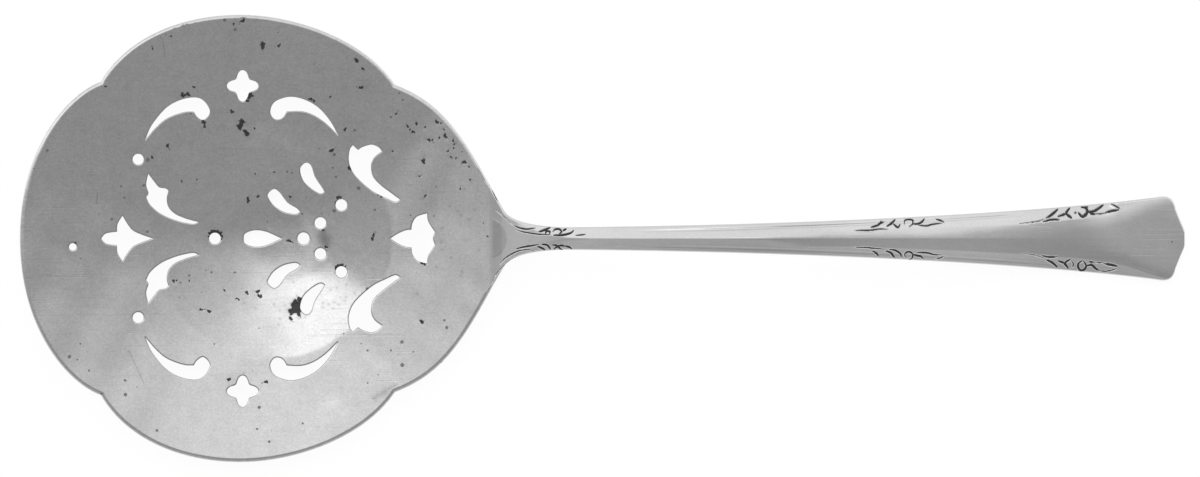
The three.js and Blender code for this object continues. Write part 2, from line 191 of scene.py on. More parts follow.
# Pits of old tarnish in the bowl: x, y, radius
PIT_DEPTH = 0.1
PITS = (
    (-1.6, 33.2, 0.5), (-5, 37.4, 0.34), (1.2, 33.1, 0.25), (15.6, 29.1, 0.25), (-3.8, 24.5, 0.5),
    (-4.4, 23.7, 0.3), (-5.2, 19.9, 0.55), (-5.6, 19.1, 0.4), (-4.4, 18.1, 0.48), (-3, 18.9, 0.16),
    (-6.9, 21.8, 0.3), (4.7, -10.6, 0.5), (4.2, -11.3, 0.75), (4.9, -11.8, 0.6), (3.7, -12.1, 0.7),
    (4.5, -12.7, 0.5), (3.2, -12.6, 0.42), (3.2, -13.7, 0.32), (-4.3, -9.3, 0.3), (-2.4, -9.1, 0.3),
    (-2.1, -9.9, 0.34), (-10.8, -12.5, 0.3), (-12.2, -12.2, 0.23), (-1, -24.6, 0.28), (-7.4, -24.2, 0.3),
    (-6.6, -25.6, 0.3), (-15.4, 24.7, 0.34), (-14.4, 24.8, 0.34), (-11.8, 20.1, 0.4), (-11.6, 19.3, 0.25),
    (-17.9, 15.9, 0.28), (-13.4, 26, 0.21), (37, 0.35, 0.15), (-20.6, 13.9, 0.23), (-33.9, -0.9, 0.28),
    (17.4, 0.6, 0.25), (17.2, -0.1, 0.28), (-16.9, -7.3, 0.25), (2.7, -0.4, 0.23), (3.2, -0.5, 0.21),
    (-28.6, 26.1, 0.18), (-20.5, 32.6, 0.16), (-17.3, 34.7, 0.16), (-6.6, 36.8, 0.18), (-10.7, 0.85, 0.3),
    (-10.3, 1.12, 0.3), (-9.8, 1.2, 0.32), (-9.3, 1.12, 0.3), (-8.9, 0.8, 0.32), (-8.72, 0.35, 0.28),
    (-8.7, -0.1, 0.16), (-10.9, 0.3, 0.14), (10.95, -5.1, 0.25), (11.2, -4.8, 0.28), (11.6, -4.6, 0.28),
    (12.1, -4.6, 0.25), (12.6, -4.8, 0.16), (9.25, -1.5, 0.23), (8.8, 1.45, 0.18), (-15.1, 24.5, 0.28),
    (-6.1, -10.3, 0.16), (-14.2, -7.3, 0.14), (14.5, 30.6, 0.34), (15.3, 25.9, 0.3), (10, 24.3, 0.18),
    (6.6, 23.95, 0.28), (7.2, 23.6, 0.23), (21.3, 21.4, 0.18), (23.3, 19.2, 0.2), (23.7, 18.7, 0.15),
    (24.2, 18.3, 0.25), (24.8, 19.7, 0.25), (26.3, 19.1, 0.15), (28.3, 20, 0.28), (29, 19.8, 0.14),
    (29.7, 17.6, 0.32), (28.7, 17.3, 0.18), (29.5, 18.7, 0.14), (26.95, 16.9, 0.25), (27.5, 16.9, 0.17),
    (31.1, 16.8, 0.2), (31.3, 16.2, 0.15), (30.2, 15, 0.17), (31.2, 15.5, 0.14), (30.7, 14, 0.16),
    (31.6, 13.8, 0.15), (33, 13.1, 0.32), (33.8, 12.3, 0.17), (26, 13.25, 0.36), (12.5, 18.7, 0.25),
    (10.2, 15.1, 0.36), (13.25, 12.1, 0.3), (20.7, 15, 0.17), (26.3, 7.3, 0.21), (25.3, 10.7, 0.14),
    (32.3, 8.5, 0.15), (34, 10.1, 0.17), (18.3, 7.55, 0.23), (18.8, 7.3, 0.25), (11.3, 7.05, 0.28),
    (11.7, 7.1, 0.23), (-4.1, 6.5, 0.3), (-4.15, 6.9, 0.23), (-2.4, 7.2, 0.23), (3.1, 7.2, 0.21),
    (-2.9, 11.1, 0.15), (0.4, 11.4, 0.15), (-15.5, 9.8, 0.17), (-12.9, 10.1, 0.14), (-8.15, -8.9, 0.17),
    (25.7, -4.25, 0.25), (26.3, -4.35, 0.25), (25.7, -14.3, 0.34), (-16.4, -7.2, 0.14), (-5.7, -10.5, 0.18),
)

# Faint grey spots of one size, most of them in the bright part of the well
FAINT_RADIUS = 0.27
FAINT_DULLNESS = 0.6
FAINT_SPOTS = (
    (8.7, -11.1), (8.8, -11.9), (9.7, -11.3), (10.7, -11), (10.5, -12), (11.4, -11.3), (12.5, -10.7),
    (11.8, -10.1), (12.7, -10), (12.8, -7.9), (14.2, -9.4), (11.1, -8.5), (10, -8.8), (3.7, -7.5),
    (2.2, -11.5), (1.4, -12.3), (0.4, -11.3), (-2.9, -12), (1.4, -13.7), (5.7, -13.5), (1.1, -14.8),
    (-4.8, -11.1), (31.9, 4.7), (32.4, 4), (33.8, 3.3), (34.8, 4.9), (29.2, 1.8), (29, -0.6), (29.2, -2),
    (30.7, -3.3), (35.5, -2), (32.6, -5.6), (32.4, -6.4), (28.2, -4.9), (24.9, -9.5), (33, 8.5), (34.2, 9.9),
    (31.6, 16.4), (30.9, 13.8), (30.5, 5.5),
)

# Where fine specks crowd: x, y, radius, strength
CROWDS = (
    (25, 18, 7, 0.5), (30, 8, 5, 0.4), (9.6, -11, 3.2, 0.4), (-8, 25, 3.6, 0.8), (-9, -8, 6, 0.5),
    (-14, -18, 7, 0.5), (0, -16, 6, 0.5), (-4, 12, 7, 0.4), (6, 32, 6, 0.5),
)

# Thin scratches, as points along each; painted shade, partly tarnish, along the piercings' edges, stronger on
# one side
SCRATCHES = (
    ((-19.1, 34.7), (-18.6, 33.3), (-18.4, 31.2)),
    ((-30, 7.8), (-30.1, 5.9)),
    ((21.5, -24.9), (17.2, -27.6)),
    ((-24.6, -19.2), (-22, -24.8)),
    ((35.4, 12), (36, 11), (36.5, 10)),
)
SCRATCH_WIDTH = 0.1
SCRATCH_DULLNESS = 1.1
EDGE_SHADE_DARKNESS = 1.2
EDGE_SHADE_WIDTH = 0.2
EDGE_SHADE_SIDE = (-0.6, 0.7)
EDGE_SHADE_RANGE = (0.45, 1.4)

# Dull stains, and, below nought, a painted sheen of lighter places in a band over the upper brim: x, y,
# radius, strength
STAINS_AND_PAINTED_SHEEN = (
    (9, -0.1, 1.15, 1.15), (9.3, -1.3, 0.6, 0.6), (8.8, 1.3, 0.45, 0.6), (8.2, 0.9, 1, 0.2),
    (4, -11.4, 1.9, 0.15), (-4.7, 19, 1.6, 0.3), (-3.6, 23.9, 1, 0.25), (-34.3, -1.4, 1, 0.6),
    (-6.8, -24.6, 1.1, 0.3), (26.4, -31, 2, 0.25), (16.6, 26.1, 1.3, 0.2), (26.5, 11.5, 2.6, 0.12),
    (-9.8, 0.6, 1.1, 0.3), (-15.6, 24.6, 1, 0.2), (-14.8, 36, 1.2, 0.25), (-15.5, 31.5, 3.4, -0.3),
    (-10.5, 27.6, 3, -0.3), (-5.5, 23.5, 2.6, -0.25), (-0.5, 21.3, 2.4, -0.2),
    *[(*spot, FAINT_RADIUS, FAINT_DULLNESS) for spot in FAINT_SPOTS],
)

# Places where the bowl's mesh is finer
SMALL_STAIN = 1.3
SPOTS = PITS + tuple(stain_and_painted_light[:3] for stain_and_painted_light in STAINS_AND_PAINTED_SHEEN if stain_and_painted_light[2] < SMALL_STAIN)

# Cuts of the handle: the widest half-width of each stroke, then x and y of the points along it. The two sides
# were cut by hand and differ.
UPPER_CUTS = (
    (0.14, 37.7, 8.4, 38.2, 7.4, 38.8, 6.25), (0.1, 38.4, 4.9, 39.7, 3.85, 40.6, 2.85, 41.5, 2.25),
    (0.2, 41.5, 2.25, 42.4, 1.85, 43.7, 1.6, 45.2, 1.8),
    (0.18, 41.8, 1.5, 43.4, 1.08, 45.2, 0.8, 46.3, 0.68, 47.8, 0.66),
    (0.26, 45.8, 1.12, 46.8, 1.45, 47.8, 1.9), (0.24, 48.3, 0.55, 50, 0.6, 51.3, 0.95, 51.8, 1.4),
    (0.22, 48.2, 1.1, 48.6, 1.55, 49.3, 1.6, 49.7, 1.15, 49.3, 0.75),
    (0.22, 46.9, 0.75, 47.2, 1.25, 47.7, 1.15, 47.6, 0.75), (0.22, 49.9, 1.3, 50.6, 1.7),
    (0.16, 52.1, 0.5, 53.9, 0.7), (0.18, 100, 1.33, 101.2, 1.37, 102.6, 1.4, 104.5, 1.62, 105.7, 1.5),
    (0.26, 102.8, 1.9, 104.1, 2.35, 104.6, 3), (0.2, 103.9, 2.4, 105.1, 2.85),
    (0.26, 105.5, 2.05, 106.4, 2.65, 107, 3.3), (0.22, 106.6, 2.55, 107.4, 1.9, 107.8, 2.45),
    (0.2, 108.5, 2.3, 108.7, 3.15, 109.9, 3.15, 109.9, 2.45, 109.3, 1.95),
    (0.24, 109.9, 2.5, 110.8, 2.5, 111.5, 2.8, 112, 3.4),
    (0.2, 110.8, 2.3, 112.3, 2.15, 113.5, 2.45, 115, 2.6), (0.18, 113.9, 3.3, 114.7, 3.1, 115.4, 2.75),
    (0.12, 128.3, 2.5, 130.1, 2.7, 131.6, 2.97, 133.1, 3.5), (0.28, 132.8, 3.4, 134, 4.18, 134.9, 5.05),
    (0.22, 132.3, 2.82, 133.4, 3.15, 134.4, 3.25, 135.2, 3.15),
    (0.28, 134.9, 3.75, 136.1, 4.2, 136.6, 4.8, 137, 5.3), (0.3, 136.2, 4.3, 136.8, 3.85, 137.3, 3.5),
    (0.2, 137.7, 4.35, 138.1, 4.42),
    (0.34, 138.4, 4.4, 139.1, 3.75, 139.8, 4.2, 139.9, 4.9, 139.5, 5.3, 138.9, 5.35),
    (0.2, 139.3, 5.35, 140.1, 5.4), (0.3, 139.7, 4.6, 140.9, 4.6, 141.7, 5, 142.7, 5.75),
    (0.28, 140.4, 4.3, 140.8, 4.2, 141.4, 4.2), (0.13, 141.2, 4.2, 142.2, 4.2, 143.4, 4.4),
    (0.26, 143, 4.35, 143.9, 4.65, 145.4, 4.92), (0.18, 144, 5.9, 144.8, 5.55, 145.6, 5.05),
)
LOWER_CUTS = (
    (0.12, 37.6, -8, 38.4, -6.3, 39.3, -5.1, 40.8, -3.7, 42.5, -2.9),
    (0.17, 39.2, -4.3, 39.9, -3.5, 40.9, -2.8, 42.1, -2.2, 43, -2, 44.1, -1.9, 45, -2.2),
    (0.22, 41.9, -1.8, 43, -1.5, 44.8, -1.2, 45.9, -1.02), (0.26, 45.6, -1.35, 46.2, -1.6, 46.9, -1.95),
    (0.26, 46.3, -1.02, 47.2, -1.12, 47.85, -1.9), (0.24, 48.1, -1.12, 48.8, -1.18, 49.5, -1.75, 49.9, -1.9),
    (0.24, 48.4, -1.9, 48.8, -1.5, 49.5, -1.2, 50.5, -1.3), (0.22, 50.2, -1.25, 51, -1.45, 51.5, -1.8),
    (0.18, 100, -1.51, 101, -1.52, 102, -1.54, 103.5, -1.7, 105.3, -1.84),
    (0.24, 103, -2.1, 103.7, -2.5, 104.1, -3.05),
    (0.26, 105.3, -2.1, 106.2, -2.45, 106.6, -2.95, 106.9, -3.3),
    (0.24, 105.9, -1.9, 106.7, -1.95, 107.5, -2.3, 107.95, -2.8, 107.95, -3.25),
    (0.22, 108.7, -3.25, 108.6, -2.7, 109.2, -2.25, 109.9, -2.6, 109.9, -3.3, 109.3, -3.6),
    (0.24, 109.9, -2.7, 110.8, -2.95, 111.35, -3.05, 111.8, -3.5),
    (0.22, 110.6, -2.4, 112.4, -2.45, 113.3, -2.7, 114.1, -2.8, 114.7, -2.7),
    (0.18, 113.9, -3.5, 114.6, -3.35, 115.3, -3.05),
    (0.13, 128.6, -2.6, 130.1, -2.7, 131.6, -3.06, 133, -3.63), (0.3, 132.7, -3.5, 134, -4.2, 134.8, -4.95),
    (0.22, 132.1, -2.9, 133.4, -3.2, 134.9, -3.13), (0.28, 134.9, -3.85, 136, -4.3, 136.7, -5.2),
    (0.26, 135.9, -4.25, 136.5, -3.9, 137.1, -3.5), (0.17, 137.1, -3.7, 137.55, -4.4, 137.3, -5.05),
    (0.28, 139.2, -3.8, 138.5, -4.2, 138.35, -4.8, 138.7, -5.4, 139.4, -5.35, 139.75, -4.7, 139.3, -3.9),
    (0.3, 139.7, -4.7, 140.7, -4.55, 141.3, -5.1, 142, -5.55),
    (0.16, 141.8, -5.5, 143, -5.63, 144.3, -5.4, 145.4, -5), (0.26, 140.3, -3.95, 141.1, -4.15),
    (0.14, 141, -4.15, 142.4, -4.18, 143.2, -4.3), (0.32, 142.8, -4.25, 143.9, -4.5, 145.1, -4.72),
)

# Section of a cut, in shares of its half-width: factor on the widths, what is left of them at the ends, reach
# of the slopes, place and width of the burr's lip; then the half-width that gives full depth, and the heights
CUT_WIDTH = 0.84
CUT_END = 0.45
CUT_SLOPE = 1.15
LIP = 1.55
LIP_WIDTH = 0.4
FULL_CUT = 0.22
CUT_DEPTH = 0.2
CUT_BURR = 0.006

# Stretches of the handle that hold cuts, and so have a finer mesh
CUT_ZONES = ((37.4, 55), (98, 116.5), (126, 146.5))

# Fine groove along both edges of the handle, and how strong it is along it
BORDER_INSET = 0.85
BORDER_WIDTH = 0.22
BORDER_DEPTH = 0.055
BORDER = ((56, 0), (64, 0.5), (76, 1), (124, 1), (130, 0.6), (140, 0.3), (148, 0))

# Pad of solder on the bend, straight towards the bowl and round towards the stem
PAD_START = 37.62
PAD_RUN = 2.85
PAD_HALF = 3.3
PAD_BEVEL = 0.5
PAD_HEIGHT = 0.02
PAD_DULLNESS = 0.45
SOLDER_DULLNESS = 0.08

# Specks on the handle: x, y, radius
HANDLE_SPECKS = (
    (147.8, 3.7, 0.2), (148, -0.6, 0.22), (150.6, -1, 0.2), (154.5, -0.6, 0.18), (141, -7.2, 0.1),
)


# Curves

def bezier(start, pull_out, pull_in, end, steps=40):
    a, d = np.array(start, float), np.array(end, float)
    b, c = a + pull_out, d + pull_in
    t = np.linspace(0, 1, steps + 1)[:, None]
    return (1 - t) ** 3 * a + 3 * (1 - t) ** 2 * t * b + 3 * (1 - t) * t ** 2 * c + t ** 3 * d


def spline(points, steps=8):
    """A smooth curve through every one of the points."""
    p = np.array([points[0], *points, points[-1]], float)
    t = np.linspace(0, 1, steps, endpoint=False)[:, None]
    spans = []
    for a, b, c, d in zip(p, p[1:], p[2:], p[3:]):
        out, into = (c - a) / 2, (d - b) / 2
        bend = (2 * b - 2 * c + out + into) * t ** 3 + (3 * c - 3 * b - 2 * out - into) * t ** 2
        spans.append(bend + out * t + b)
    return np.vstack([*spans, p[-1]])


def resample(points, pitch):
    """The same line in even steps of about the pitch."""
    points = np.asarray(points, float)
    run = np.r_[0, np.cumsum(np.linalg.norm(np.diff(points, axis=0), axis=1))]
    at = np.linspace(0, run[-1], max(1, round(run[-1] / pitch)) + 1)
    return np.column_stack([np.interp(at, run, points[:, 0]), np.interp(at, run, points[:, 1])])


def joined(stretches, pitch):
    """Stretches that follow on from one another, as one line in even steps between their ends."""
    lines = [resample(s, pitch) for s in stretches]
    return np.vstack([lines[0], *[line[1:] for line in lines[1:]]])


def mirrored(points):
    return np.asarray(points, float) * (1, -1)


def smooth(value, low, high):
    t = np.clip((value - low) / (high - low), 0, 1)
    return t * t * (3 - 2 * t)


def mix(a, b, share):
    return a + (b - a) * share


def slope(degrees):
    return math.tan(math.radians(degrees))


# Bowl: rim and piercings

def upper_rim():
    front = (-BOWL_FRONT, 0)
    widest = (WIDEST_X, BOWL_HALF)
    seam = (SEAM_X, SEAM_HALF)
    return [
        bezier(front, (0, FRONT_PULL), FRONT_NOTCH_PULLS[0], FRONT_NOTCH),
        bezier(FRONT_NOTCH, FRONT_NOTCH_PULLS[1], (-WIDEST_PULL, 0), widest),
        bezier(widest, (WIDEST_PULL, 0), REAR_NOTCH_PULLS[0], REAR_NOTCH),
        bezier(REAR_NOTCH, REAR_NOTCH_PULLS[1], SEAM_PULL, seam),
    ]


def on_ring(out, angle):
    turn = math.radians(angle)
    return (WELL_RADIUS + out) * math.cos(turn), (WELL_RADIUS + out) * math.sin(turn)


def smooth_runs(middle, runs):
    """Smooth lines that meet in corners: each starts where the one before it ends."""
    lines, start = [], []
    for numbers in runs:
        points = start + np.reshape(numbers, (-1, 2)).tolist()
        lines.append(spline(points) + middle)
        start = points[-1:]
    return lines


def piercing(middle, *runs):
    """An outline of smooth runs, whose last one ends where the first one starts."""
    return joined(smooth_runs(middle, [*runs[:-1], (*runs[-1], *runs[0][:2])]), PIERCING_PITCH)[:-1]


def axial(middle, *runs):
    """An outline whose upper half is given, and is mirrored."""
    upper = smooth_runs(middle, runs)
    return joined(upper + [mirrored(line)[::-1] for line in reversed(upper)], PIERCING_PITCH)[:-1]


def rounded(middle, radius, lobe=0):
    turn = np.linspace(0, 2 * math.pi, 97)
    reach = radius + lobe * np.cos(4 * turn)
    ring = np.column_stack([reach * np.cos(turn), reach * np.sin(turn)]) + middle
    return joined([ring], PIERCING_PITCH)[:-1]


def piercing_outlines():
    """All the piercings, as runs of x and y about their middles."""
    on_axis = [
        axial(on_ring(4.4, 180), (-4.3, 0, -3.5, 0.85, -1.6, 1.15), (-1.5, 2.5, -0.65, 3.9),
              (-0.1, 2.9, 1, 1.45, 2.5, 0.7, 4.5, 0)),
        axial(on_ring(3.6, 0), (-3.85, 0, -2.8, 0.7, -1.4, 1.35, -0.25, 1.5),
              (-0.1, 2.6, 0.7, 3.75, 2.4, 4.3), (2.6, 2.9, 3.75, 1.1), (3.4, 0.2, 3.4, 0)),
        axial((-1.6, 0), (-3.25, 0, -3, 0.85, -1.4, 1.4, 0.6, 1.15, 3.2, 0)),
        rounded((-9.8, 0), 1),
        rounded((5.4, 0), 1.05),
    ]
    pairs = [
        piercing(on_ring(6.2, 126.7),
                 (-5.7, -4.5, -4.6, -2, -2, 1.05, 1, 2.5, 3.8, 2.5, 5.35, 0.4, 4.3, -1.1, 3.2, -0.6,
                  2.6, 0.3), (0.8, 0.2, -2, -0.85, -4, -2.5)),
        piercing(on_ring(2, 75.9),
                 (-3, -0.1, -3.45, -0.9, -4.2, -1.45, -5.2, -1.3, -5.8, -0.1, -5, 1.55, -2.5, 2.4, 0.1, 1.9,
                  2.5, 0.5, 4.5, -1.8, 5.75, -4.1), (3.7, -2.1, 1.6, -0.7, -0.5, -0.05)),
        piercing(on_ring(-1.1, 161.5), (-2.75, 4.9, -1.8, 3.65, -0.9, 2.6, 0.2, 2.4, 0.7, 2),
                 (0.4, 0.7, 0.7, -0.8, 1.9, -2, 3.9, -2.85, 5.8, -3.35),
                 (5, -3.7, 3, -3.35, 1, -2.7, -0.8, -1.8, -2.4, -0.4, -3.1, 0.95), (-2.7, 1.6, -3.1, 3.1)),
        piercing(on_ring(-0.5, 34.9), (-2.55, 4.5, -2.2, 4.1, -1.7, 3.7),
                 (-0.9, 4.2, 0.6, 4.6, 1.8, 4.15, 2.35, 3.45),
                 (1.1, 2.5, 0.5, 1.1, 0.8, -0.8, 2.1, -2.3, 3.8, -3.6, 5.45, -4.8),
                 (4.7, -5.2, 3, -4.5, 1, -3.5, -1, -1.9, -2.6, -0.1, -3.3, 1.9, -3.1, 3.8)),
        piercing((1.8, 6.2), (2.95, -1.6, 2.2, -2, 0.2, -1.6, -1.4, -0.6, -2.3, 0.6, -2.5, 1.4, -1.5, 2.3,
                              -0.5, 1.7, 0.8, 0, 2.4, -1)),
        piercing((6.6, 10.5), (2.35, -2.5, 1.6, -2.75, 0, -1.8, -1.3, -0.4, -1.75, 1.5, -0.8, 2.5, 0.1, 2,
                               0.75, 0.1, 2, -1.8)),
        rounded((8.3, 2.65), 1),
        rounded((11.9, 5.75), 1),
        rounded(on_ring(6.1, 100.9), 2.15, 0.55),
        rounded(on_ring(6.1, 149.4), 0.95),
    ]
    hanging = rounded((9.1 - BOWL_FRONT, -1.45), 0.65)
    return [*on_axis, *pairs, *[mirrored(p)[::-1] for p in pairs], hanging]


# Distances to outlines

def closed(loop):
    return np.vstack([loop, loop[:1]])


def unit(vectors):
    return vectors / np.maximum(np.linalg.norm(vectors, axis=-1, keepdims=True), 1e-9)


def tree_of(points):
    """A tree of points in plan, to find the nearest of them."""
    tree = KDTree(len(points))
    for i, (x, y) in enumerate(points):
        tree.insert((x, y, 0), i)
    tree.balance()
    return tree


class Edges:
    """Outlines as short straight bits, to find how far points are from them."""

    def __init__(self, lines, pitch=0.06):
        lines = [resample_bits(line, pitch) for line in lines]
        self.starts = np.vstack([line[:-1] for line in lines])
        self.ends = np.vstack([line[1:] for line in lines])
        self.tree = tree_of((self.starts + self.ends) / 2)

    def nearest(self, points):
        """Distance of each point, and the unit way to it from the nearest place."""
        found = np.array([self.tree.find((x, y, 0))[1] for x, y in points])
        start = self.starts[found]
        along = self.ends[found] - start
        share = ((points - start) * along).sum(1) / np.maximum((along * along).sum(1), 1e-12)
        away = points - (start + np.clip(share, 0, 1)[:, None] * along)
        reach = np.linalg.norm(away, axis=1)
        side = unit(np.column_stack([-along[:, 1], along[:, 0]]))
        return reach, np.where(reach[:, None] > 1e-6, unit(away), side)


def resample_bits(line, pitch):
    """A line with each of its bits cut into pieces no longer than the pitch."""
    bits = []
    for a, b in zip(line, line[1:]):
        count = max(1, math.ceil(np.linalg.norm(b - a) / pitch))
        bits.append(a + (b - a) * (np.arange(count) / count)[:, None])
    return np.vstack([*bits, line[-1:]])


def inside(points, loop):
    """Whether each point lies inside a closed loop."""
    near = np.flatnonzero(((points >= loop.min(0)) & (points <= loop.max(0))).all(1))
    x, y = points[near].T
    crossings = np.zeros(len(near), int)
    for (ax, ay), (bx, by) in zip(loop, np.roll(loop, -1, axis=0)):
        if ay != by:
            crossings += ((ay > y) != (by > y)) & (x < (bx - ax) * (y - ay) / (by - ay) + ax)
    hits = np.zeros(len(points), bool)
    hits[near] = crossings % 2 == 1
    return hits


def beside(loop, reach):
    """Points at a reach from both sides of a closed loop, with fans round its corners."""
    ahead = np.roll(loop, -1, axis=0) - loop
    heading = np.arctan2(ahead[:, 1], ahead[:, 0])
    before = np.roll(heading, 1)
    turns = (heading - before + math.pi) % (2 * math.pi) - math.pi
    spots = []
    for (x, y), start, turn in zip(loop, before, turns):
        fan = max(1, math.ceil(abs(turn) / FAN_STEP))
        for step in range(fan):
            angle = start + turn * (step + 0.5) / fan
            for side in (-reach, reach):
                spots.append((x - side * math.sin(angle), y + side * math.cos(angle)))
    return np.array(spots)


# Heights

def dish_profile(flat, ramp_end):
    """Heights of the bowl over its radii, from a flat middle, with a softened crease."""
    radius = DISH_RADII
    wall = slope(WELL_SLOPE) * smooth(radius, flat, ramp_end)
    past = np.maximum(0, radius - WELL_RADIUS)
    curl = (slope(RIM_SLOPE) - slope(BRIM_SLOPE)) / (BOWL_HALF - WELL_RADIUS)
    brim = slope(BRIM_SLOPE) + past * curl
    grade = mix(wall, brim, smooth(radius, WELL_RADIUS - CREASE_SOFT / 2, WELL_RADIUS + CREASE_SOFT / 2))
    return np.r_[0, np.cumsum((grade[1:] + grade[:-1]) / 2 * np.diff(radius))]


DISH_RADII = np.arange(0, 70, 0.02)
DISH_HEIGHTS = dish_profile(REST_RADIUS, REST_RADIUS + FOOT_RUN)
FACE_HEIGHTS = dish_profile(0, FACE_RUN)
FACE_HEIGHTS += DISH_HEIGHTS[-1] - FACE_HEIGHTS[-1]


def dish(radius):
    return np.interp(radius, DISH_RADII, DISH_HEIGHTS)


# Slow waves that hand work leaves in the metal: size, then the waves along x and y per mm, and the start
WAVES = (
    (0.01, 0.31, 0.12, 0.4), (0.009, -0.16, 0.37, 2.1), (0.01, 0.52, -0.33, 4), (0.008, 0.23, 0.66, 1.2),
    (0.006, -0.71, 0.29, 5.1), (0.004, 0.95, 0.81, 3.3),
)

HANDLE_WAVES = 0.35


def waves(x, y):
    return sum(size * np.sin(across * x + up * y + start) for size, across, up, start in WAVES)


def hollows(x, y):
    """How far the ragged pits lower the bowl's face, and how tarnished it is there."""
    low, dull = np.zeros_like(x), np.zeros_like(x)
    for px, py, radius in PITS:
        turn = np.arctan2(y - py, x - px)
        ragged = 1 + 0.25 * np.sin(2 * turn + 5 * px) + 0.18 * np.sin(3 * turn + 7 * py)
        ragged = ragged + 0.12 * np.sin(5 * turn + px)
        share = np.hypot(x - px, y - py) / (radius * ragged)
        low += PIT_DEPTH * radius * np.exp(-1.6 * share ** 2)
        dull = np.maximum(dull, np.clip(1.55 - share, 0, 1))
    return low, dull


def patches(x, y, spots, start=0):
    """The start value with every soft round spot of a list added to it."""
    return sum((strength * np.exp(-(np.hypot(x - px, y - py) / radius) ** 2)
                for px, py, radius, strength in spots), start)


def stains_and_painted_sheen(x, y):
    """How dull the bowl's face is with stains and scratches, and how much lighter where the painted sheen
    lies.
    """
    reach, _ = Edges([np.array(line) for line in SCRATCHES]).nearest(np.column_stack([x, y]))
    return patches(x, y, STAINS_AND_PAINTED_SHEEN, SCRATCH_DULLNESS * np.clip(1 - reach / SCRATCH_WIDTH, 0, 1))


def face_height(x, y):
    """The bowl's face, whose well deepens more slowly in the middle than the foot beneath."""
    well = np.interp(np.hypot(x, y), DISH_RADII, FACE_HEIGHTS)
    return well + PLATE + waves(x, y) - hollows(x, y)[0]


def back_dish(x, y):
    return dish(np.hypot(x, y))


def graded(height, x, y, step=0.03):
    """Unit normals of a height over a plane."""
    along = (height(x + step, y) - height(x - step, y)) / (2 * step)
    across = (height(x, y + step) - height(x, y - step)) / (2 * step)
    return unit(np.column_stack([-along, -across, np.ones_like(x)]))


def rounding(reach, radius):
    """How far up a rounded edge each point lies, one at the edge itself, and how far it has dropped."""
    left = np.clip(1 - reach / radius, 0, 1)
    return left, radius * (1 - np.sqrt(1 - left ** 2))


def rolled(reach, way, radius, normals):
    """How far a rounded edge has dropped, and the normals turned out over it."""
    left, drop = rounding(reach, radius)
    outward = np.column_stack([-way, np.zeros(len(way))])
    lean = EDGE_TURN * left
    return drop, unit(normals * np.sqrt(1 - lean ** 2)[:, None] + outward * lean[:, None])


# Pieces

def to_world(points):
    return (np.asarray(points, float) + (WELL_CENTRE, 0, 0)) * MM


def new_piece(name, points, faces, corners, tarnish, stain_and_painted_light, crowd, material):
    """A mesh with its own normals at its faces' corners, and values at its points for its material."""
    mesh = bpy.data.meshes.new(name)
    mesh.from_pydata(to_world(points).tolist(), [], faces)
    mesh.polygons.foreach_set("use_smooth", [True] * len(faces))
    for label, values in (("tarnish", tarnish), ("stain_and_painted_light", stain_and_painted_light), ("crowd", crowd)):
        mesh.attributes.new(label, "FLOAT", "POINT").data.foreach_set("value", np.asarray(values, np.float32))
    mesh.normals_split_custom_set(corners)
    mesh.materials.append(material)
    piece = bpy.data.objects.new(name, mesh)
    bpy.context.scene.collection.objects.link(piece)
    return piece


def even_field(low, high):
    """An even field of points in rows that are shifted by turns."""
    columns = np.arange(low[0], high[0], FIELD_PITCH)
    rows = np.arange(low[1], high[1], FIELD_PITCH * math.sqrt(0.75))
    return np.vstack([np.column_stack([columns + FIELD_PITCH / 2 * (i % 2), np.full(len(columns), y)])
                      for i, y in enumerate(rows)])


def field_points(rim, loops, edges):
    """Points over the bowl's face: rings beside edges and round pits, and an even field between."""
    groups = [(beside(rim, reach), reach, RIM_PITCH / 2) for reach in RIM_RINGS]
    for reach in PIERCING_RINGS:
        groups.append((np.vstack([beside(loop, reach) for loop in loops]), reach, PIERCING_PITCH / 3))
    turn = np.linspace(0, 2 * math.pi, 12, endpoint=False)
    for share in SPOT_RINGS:
        rings = [(x + share * r * np.cos(turn), y + share * r * np.sin(turn)) for x, y, r in SPOTS]
        groups.append((np.hstack(rings).T, 0.04, 0.06))
    line = np.vstack([resample(points, 0.12) for points in SCRATCHES])
    for shift in ((0, 0), (1, 0), (-1, 0), (0, 1), (0, -1)):
        groups.append((line + SCRATCH_WIDTH * np.array(shift), 0.04, 0.05))
    groups.append((even_field(rim.min(0), rim.max(0)), 0.3, FIELD_PITCH * 0.55))
    kept = np.vstack([rim, *loops])
    for spots, reach, gap in groups:
        spots = spots[in_metal(spots, rim, loops)]
        spots = spots[edges.nearest(spots)[0] > reach * 0.97 - 0.002]
        tree = tree_of(kept)
        clear = [tree.find((x, y, 0))[2] > gap for x, y in spots]
        kept = np.vstack([kept, spots[np.array(clear, bool)]])
    return kept


def into_metal(loop, outer):
    """The unit way from each point of a loop into the metal, inside the rim and outside a piercing."""
    after = np.roll(loop, -1, axis=0)
    ahead = after - np.roll(loop, 1, axis=0)
    left = unit(np.column_stack([-ahead[:, 1], ahead[:, 0]]))
    area = (loop[:, 0] * after[:, 1] - after[:, 0] * loop[:, 1]).sum()
    return left if (area > 0) == outer else -left


def in_metal(points, rim, loops):
    held = inside(points, rim)
    for loop in loops:
        held &= ~inside(points, loop)
    return held


